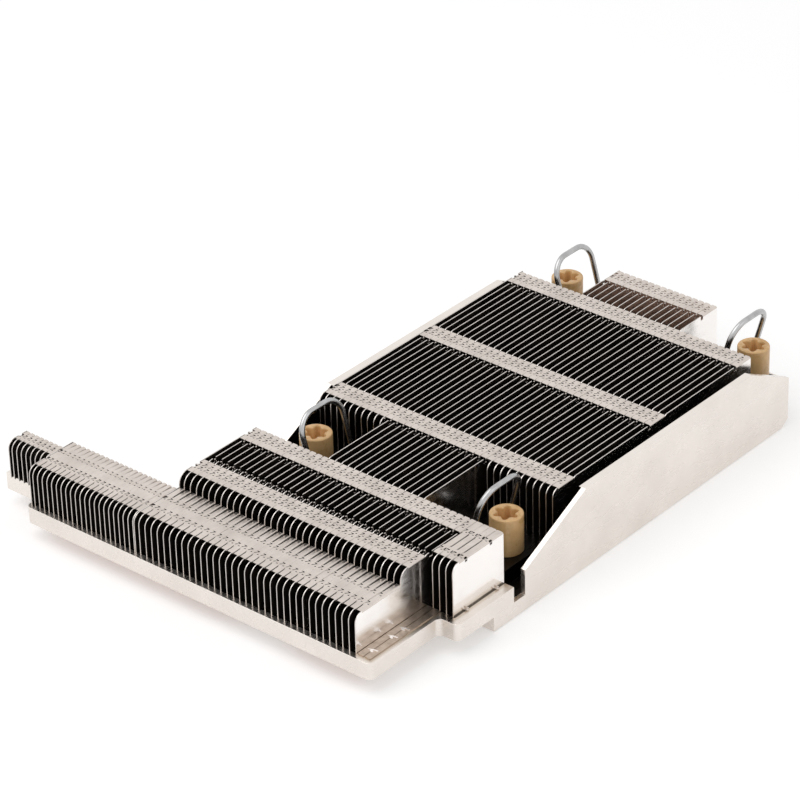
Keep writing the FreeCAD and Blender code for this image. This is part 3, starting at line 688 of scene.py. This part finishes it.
def build_fins():
    """All rows of fins, from the wing's tip to the corner block."""
    low_front = limits("fine_wing_fins")[0].y
    tip_front = limits("tip_fins")[0].y
    tip_back = limits("tip_fins")[1].y
    low_back = limits("fine_wing_fins")[1].y
    body_front, body_back = (limits("left_body_fins")[end].y for end in (0, 1))
    wing_back = limits("left_stepped_fins")[1].y
    tail_back = limits("long_fins")[1].y
    corner_front, corner_back = (limits("corner_end_plate")[end].y for end in (0, 1))

    tip = [(tip_front, LOW_TOP, LOW_CORNER, [(tip_front + LOW_CORNER, tip_back, "tip")])]
    fine = [(low_front, LOW_TOP, LOW_CORNER, [(low_front + LOW_CORNER, low_back, "low")])]
    step = (low_front, LOW_TOP, LOW_CORNER, [(low_front + LOW_CORNER, TALL_FRONT, "low")])
    wing_bands = [band(FRONT_BAND, "hooked"), band(WING_BAND)]
    body_bands = [band(FIRST_BAND), band(MIDDLE_BAND), band(REAR_BAND)]
    wing = [step, (TALL_FRONT, FIN_TOP, TALL_CORNER, wing_bands)]
    long = [step, (TALL_FRONT, FIN_TOP, TALL_CORNER, wing_bands + body_bands + [band(TAIL_BAND)])]
    body = [(body_front, FIN_TOP, BODY_CORNER, body_bands)]
    corner = [(corner_front, FIN_TOP, LOW_CORNER,
               [(corner_front + LOW_CORNER, corner_back, "corner")])]
    tail = [(TAIL_FRONT, PLATE_TOP), (TAIL_FRONT, FIN_TOP), (TAIL_BAND - NOTCH_FRONT, FIN_TOP),
            (TAIL_BAND - NOTCH_FRONT, FIN_TOP - NOTCH_DEPTH), (TAIL_BAND, FIN_TOP - NOTCH_DEPTH),
            (TAIL_BAND, FIN_TOP - FLAT), (tail_back, FIN_TOP - FLAT), (tail_back, PLATE_TOP)]

    fin_row("tip_fins", tip, FINE_PITCH, bare=bare_shape(tip_front, tip_back, tip), last_face=PAINTED_LIGHT)
    fin_row("fine_wing_fins", fine, FINE_PITCH, bare=bare_shape(low_front, low_back, fine))
    fin_row("fine_end_plate", fine, FINE_PITCH)
    fin_row("left_stepped_fins", wing, FIN_PITCH, bare=bare_shape(low_front, wing_back, wing))
    fin_row("long_fins", long, FIN_PITCH, bare=tail)
    fin_row("last_long_fin", long, FIN_PITCH, last_face=PAINTED_LIGHT)
    fin_row("right_stepped_fins", wing, FIN_PITCH)
    fin_row("wing_end_plate", wing, FIN_PITCH, last_face=PAINTED_LIGHT)
    fin_row("left_body_fins", body, FIN_PITCH, bare=bare_shape(body_front, body_back, body))
    fin_row("right_body_fins", body, FIN_PITCH)
    fin_row("body_end_plate", body, FIN_PITCH, last_face=PAINTED_LIGHT)
    fin_row("corner_fins", corner, FIN_PITCH, feet=low_front)
    fin_row("corner_end_plate", corner, FIN_PITCH, last_face=PAINTED_LIGHT, windows=True)


def build_base():
    """The machined base, with its sharp edges broken."""
    bm = bmesh.new()
    bm.from_mesh(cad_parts["base"].data)
    bmesh.ops.remove_doubles(bm, verts=bm.verts, dist=BASE_WELD * MM)
    bmesh.ops.dissolve_limit(bm, angle_limit=math.radians(FLAT_ANGLE), verts=bm.verts,
                             edges=bm.edges)
    thing = piece("base_machined", bm, (base_metal,), "heatsink", ["base"],
                  smooth=30.0)
    broken = thing.modifiers.new("broken_edges", "BEVEL")
    broken.width = BROKEN_EDGE * MM
    broken.segments = 2
    broken.limit_method = "ANGLE"
    broken.angle_limit = math.radians(BROKEN_ANGLE)
    broken.harden_normals = True


def nut_rings():
    """Rings of a nut from the thread's end down, up the outside and into the recess."""
    rings = []
    steps = int((THREAD_END - NUT_FOOT) / THREAD_PITCH * THREAD_RINGS)
    for index in range(steps + 1):
        z = THREAD_END - (THREAD_END - NUT_FOOT) * index / steps
        rings.append(("thread", NUT_BORE, z))
    top = limits("nut_front_right")[1].z
    outside = [(NUT_BORE + THREAD_LEAD, NUT_FOOT), (NUT_STEM - STEM_CHAMFER, NUT_FOOT),
               (NUT_STEM, NUT_FOOT + STEM_CHAMFER), (NUT_STEM, GROOVE_FOOT),
               (GROOVE_RADIUS, GROOVE_FOOT), (GROOVE_RADIUS, GROOVE_TOP),
               (NUT_STEM, GROOVE_TOP), (NUT_STEM, PLATE_TOP),
               (NUT_HEAD - HEAD_CHAMFER, PLATE_TOP), (NUT_HEAD, PLATE_TOP + HEAD_CHAMFER)]
    outside += arc(NUT_HEAD - NUT_EDGE, top - NUT_EDGE, NUT_EDGE, 0.0, 90.0, EDGE_STEPS)
    rings += [("plain", radius, z) for radius, z in outside]
    recess = placed(RECESS_LIP, 0.0, top) + placed(RECESS_FOOT, 0.0, RECESS_FLOOR)
    return rings + [("star", reach, z) for reach, z in recess]


def nut(name):
    """A moulded captive nut with a six-lobed recess above and a thread below."""
    low, high = limits(name)
    centre_x, centre_y = (low.x + high.x) / 2, (low.y + high.y) / 2
    bm = bmesh.new()
    loops = []
    for kind, radius, z in nut_rings():
        loop = []
        for side in range(NUT_SIDES):
            angle = math.tau * side / NUT_SIDES
            reach = radius
            if kind == "thread":
                turn = (z / THREAD_PITCH - side / NUT_SIDES) % 1.0
                reach = radius + THREAD_DEPTH * (1.0 - abs(turn * 2.0 - 1.0))
            if kind == "star":
                reach = RECESS_MEAN + RECESS_SWING * math.cos(RECESS_LOBES * angle) + radius
            x = centre_x + reach * math.cos(angle)
            y = centre_y + reach * math.sin(angle)
            loop.append(bm.verts.new(Vector((x, y, z)) * MM))
        loops.append(loop)
    skin(bm, loops)
    piece(name + "_moulded", bm, (nut_polymer,), name, [name], smooth=40.0)


def round_path(corners):
    """Points along a path of straight runs and quarter turns. Each corner is (u, v, radius)."""
    path = [Vector(corners[0][:2])]
    for before, here, after in zip(corners, corners[1:], corners[2:]):
        point = Vector(here[:2])
        entry = (Vector(before[:2]) - point).normalized()
        leave = (Vector(after[:2]) - point).normalized()
        middle = point + (entry + leave) * here[2]
        for step in range(CORNER_STEPS + 1):
            turn = math.tau / 4 * step / CORNER_STEPS
            path.append(middle - (leave * math.cos(turn) + entry * math.sin(turn)) * here[2])
    path.append(Vector(corners[-1][:2]))
    return path


def bail(name, nut_name):
    """A bent wire with its two pins turned in."""
    low, high = limits(nut_name)
    centre_x, centre_y = (low.x + high.x) / 2, (low.y + high.y) / 2
    side = 1.0 if centre_x > 0 else -1.0
    lean = math.radians(BAIL_LEAN)
    pivot = Vector((centre_x - side * PIVOT_INSET, centre_y, PLATE_TOP + PIVOT_RISE))
    rise = Vector((side * math.sin(lean), 0.0, math.cos(lean)))
    width = Vector((0.0, 1.0, 0.0))
    corners = [(-BAIL_PIN, 0.0, 0.0), (-BAIL_HALF, 0.0, BAIL_FOOT_CORNER),
               (-BAIL_HALF, BAIL_HEIGHT, BAIL_CORNER), (BAIL_HALF, BAIL_HEIGHT, BAIL_CORNER),
               (BAIL_HALF, 0.0, BAIL_FOOT_CORNER), (BAIL_PIN, 0.0, 0.0)]
    path = round_path(corners)
    points = [pivot + width * point.x + rise * point.y for point in path]
    normal = width.cross(rise)
    bm = bmesh.new()
    loops = []
    for index, point in enumerate(points):
        before = points[max(index - 1, 0)]
        after = points[min(index + 1, len(points) - 1)]
        across_path = (after - before).normalized().cross(normal)
        loop = []
        for step in range(WIRE_SIDES):
            angle = math.tau * step / WIRE_SIDES
            spot = point + (across_path * math.cos(angle) + normal * math.sin(angle)) * WIRE_RADIUS
            loop.append(bm.verts.new(spot * MM))
        loops.append(loop)
    skin(bm, loops)
    piece(name + "_wire", bm, (wire_steel,), name, [name], smooth=40.0)


def dress(node, material):
    """Gives a node that stays as it is its material."""
    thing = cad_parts[node]
    thing.data.materials.clear()
    thing.data.materials.append(material)


def seen_ray(tree):
    """One for rays from the camera and for those that a mirror or glass sends on."""
    path = tree.nodes.new("ShaderNodeLightPath")
    first = tree.nodes.new("ShaderNodeMath")
    first.operation = "MAXIMUM"
    second = tree.nodes.new("ShaderNodeMath")
    second.operation = "MAXIMUM"
    tree.links.new(path.outputs["Is Camera Ray"], first.inputs[0])
    tree.links.new(path.outputs["Is Glossy Ray"], first.inputs[1])
    tree.links.new(first.outputs["Value"], second.inputs[0])
    tree.links.new(path.outputs["Is Transmission Ray"], second.inputs[1])
    return second.outputs["Value"]


def build_floor():
    """A pale floor that shows white but still takes the object's shadow."""
    floor_mesh = bpy.data.meshes.new("floor")
    corners = [(x * FLOOR_HALF, y * FLOOR_HALF, FLOOR_LEVEL)
               for x, y in ((-1, -1), (1, -1), (1, 1), (-1, 1))]
    floor_mesh.from_pydata(corners, [], [(0, 1, 2, 3)])
    floor = bpy.data.objects.new("floor", floor_mesh)
    bpy.context.scene.collection.objects.link(floor)
    material = bpy.data.materials.new("floor_white")
    material.use_nodes = True
    tree = material.node_tree
    tree.nodes.clear()
    output = tree.nodes.new("ShaderNodeOutputMaterial")
    matte = tree.nodes.new("ShaderNodeBsdfDiffuse")
    matte.inputs["Color"].default_value = FLOOR_GREY
    glow = tree.nodes.new("ShaderNodeEmission")
    glow.inputs["Strength"].default_value = FLOOR_GLOW
    joined = tree.nodes.new("ShaderNodeAddShader")
    tree.links.new(matte.outputs["BSDF"], joined.inputs[0])
    tree.links.new(glow.outputs["Emission"], joined.inputs[1])
    mix = tree.nodes.new("ShaderNodeMixShader")
    tree.links.new(seen_ray(tree), mix.inputs["Fac"])
    tree.links.new(matte.outputs["BSDF"], mix.inputs[1])
    tree.links.new(joined.outputs["Shader"], mix.inputs[2])
    tree.links.new(mix.outputs["Shader"], output.inputs["Surface"])
    floor_mesh.materials.append(material)


def build_world():
    """A soft even sky, which is plain white where it's seen."""
    world = bpy.data.worlds.new("studio")
    bpy.context.scene.world = world
    world.use_nodes = True
    tree = world.node_tree
    tree.nodes.clear()
    output = tree.nodes.new("ShaderNodeOutputWorld")
    soft = tree.nodes.new("ShaderNodeBackground")
    soft.inputs["Strength"].default_value = SKY
    white = tree.nodes.new("ShaderNodeBackground")
    for background in (soft, white):
        background.inputs["Color"].default_value = WHITE
    mix = tree.nodes.new("ShaderNodeMixShader")
    tree.links.new(seen_ray(tree), mix.inputs["Fac"])
    tree.links.new(soft.outputs["Background"], mix.inputs[1])
    tree.links.new(white.outputs["Background"], mix.inputs[2])
    tree.links.new(mix.outputs["Shader"], output.inputs["Surface"])


def area_light(name, location, size, energy):
    """A round lamp that points at the object's place."""
    data = bpy.data.lights.new(name, "AREA")
    data.shape = "DISK"
    data.size = size
    data.energy = energy
    lamp = bpy.data.objects.new(name, data)
    lamp.location = location
    lamp.rotation_mode = "QUATERNION"
    lamp.rotation_quaternion = Vector(location).to_track_quat("Z", "Y")
    bpy.context.scene.collection.objects.link(lamp)


def build_camera():
    """The camera, turned about its own axis as in the photograph."""
    azimuth = math.radians(CAMERA_AZIMUTH)
    elevation = math.radians(CAMERA_ELEVATION)
    roll = math.radians(CAMERA_ROLL)
    back = Vector((math.sin(azimuth) * math.cos(elevation),
                   -math.cos(azimuth) * math.cos(elevation), math.sin(elevation)))
    level = Vector((math.cos(azimuth), math.sin(azimuth), 0.0))
    upright = back.cross(level)
    right = level * math.cos(roll) + upright * math.sin(roll)
    up = upright * math.cos(roll) - level * math.sin(roll)
    location = (Vector(CAMERA_TARGET) + back * CAMERA_DISTANCE) * MM
    data = bpy.data.cameras.new("camera")
    data.lens = CAMERA_LENS
    data.sensor_width = SENSOR_WIDTH
    data.sensor_fit = "HORIZONTAL"
    data.clip_start = 0.01
    data.clip_end = 20.0
    camera = bpy.data.objects.new("camera", data)
    turn = Matrix((right, up, back)).transposed()
    camera.matrix_world = Matrix.Translation(location) @ turn.to_4x4()
    bpy.context.scene.collection.objects.link(camera)
    bpy.context.scene.camera = camera


build_base()
build_fins()
for end in ("front", "back"):
    for side in ("left", "right"):
        nut(f"nut_{end}_{side}")
        bail(f"bail_{end}_{side}", f"nut_{end}_{side}")
        dress(f"ring_{end}_{side}", ring_steel)
dress("contact_plate", copper)
for pipe in ("outer_left", "inner_left", "inner_right", "outer_right"):
    dress(f"heat_pipe_{pipe}", copper)
build_floor()
build_world()
for lamp in LAMPS:
    area_light(*lamp)
build_camera()

bpy.context.scene.view_settings.view_transform = "Standard"
